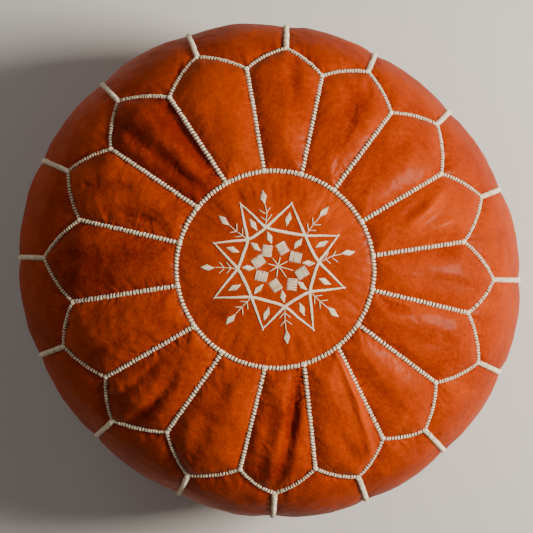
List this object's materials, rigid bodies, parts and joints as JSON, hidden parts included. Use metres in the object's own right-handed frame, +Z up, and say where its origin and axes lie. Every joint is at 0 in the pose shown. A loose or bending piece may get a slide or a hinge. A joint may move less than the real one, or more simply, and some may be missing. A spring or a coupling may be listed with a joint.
{
  "type": "moroccan leather pouf",
  "caption": "Round stuffed leather floor pouf: medallion top with scalloped petals, braided seams, embroidered star and a zip across the flat base.",
  "frame": {"origin": "on the floor, under the middle of the outline", "axes": "+Z up out of the medallion; the zip runs along X and opens towards +X"},
  "size_m": [0.5571, 0.5469, 0.33],
  "materials": {
    "leather": "hand-dyed cognac goatskin, satin, creased and darker where it folds",
    "leather_base": "the same leather on the underside, duller",
    "thread": "cream rayon thread, braided over the seams and stitched as embroidery",
    "zip_tape": "brown woven tape",
    "zip_coil": "brown nylon coil",
    "zip_metal": "worn brass",
    "lining": "undyed cotton",
    "wadding": "loose cotton wadding"
  },
  "bodies": {
    "root": {"top_medallion": "leather", "top_petal_01": "leather", "top_petal_02": "leather", "top_petal_03": "leather", "top_petal_04": "leather", "top_petal_05": "leather", "top_petal_06": "leather", "top_petal_07": "leather", "top_petal_08": "leather", "top_petal_09": "leather", "top_petal_10": "leather", "top_petal_11": "leather", "top_petal_12": "leather", "top_petal_13": "leather", "top_petal_14": "leather", "top_petal_15": "leather", "top_petal_16": "leather", "side_panel_01": "leather", "side_panel_02": "leather", "side_panel_03": "leather", "side_panel_04": "leather", "side_panel_05": "leather", "side_panel_06": "leather", "side_panel_07": "leather", "side_panel_08": "leather", "side_panel_09": "leather", "side_panel_10": "leather", "side_panel_11": "leather", "side_panel_12": "leather", "side_panel_13": "leather", "side_panel_14": "leather", "side_panel_15": "leather", "side_panel_16": "leather", "base_half_left": "leather_base", "base_half_right": "leather_base", "medallion_braid": "thread", "seam_braid_01": "thread", "seam_braid_02": "thread", "seam_braid_03": "thread", "seam_braid_04": "thread", "seam_braid_05": "thread", "seam_braid_06": "thread", "seam_braid_07": "thread", "seam_braid_08": "thread", "seam_braid_09": "thread", "seam_braid_10": "thread", "seam_braid_11": "thread", "seam_braid_12": "thread", "seam_braid_13": "thread", "seam_braid_14": "thread", "seam_braid_15": "thread", "seam_braid_16": "thread", "zip_tape_left": "zip_tape", "zip_tape_right": "zip_tape", "zip_coil_left": "zip_coil", "zip_coil_right": "zip_coil", "lining": "lining", "stuffing": "wadding"},
    "slider": {"zip_slider": "zip_metal"},
    "pull": {"zip_pull": "zip_metal"}
  },
  "joints": [
    {"name": "zip", "type": "slide", "parent": "root", "child": "slider", "axis": [1, 0, 0], "range_m": [0, 0.27]},
    {"name": "pull_tab", "type": "hinge", "parent": "slider", "child": "pull", "pos_m": [-0.135, 0, 0.0016], "axis": [0, 1, 0], "range_deg": [0, 180]}
  ]
}
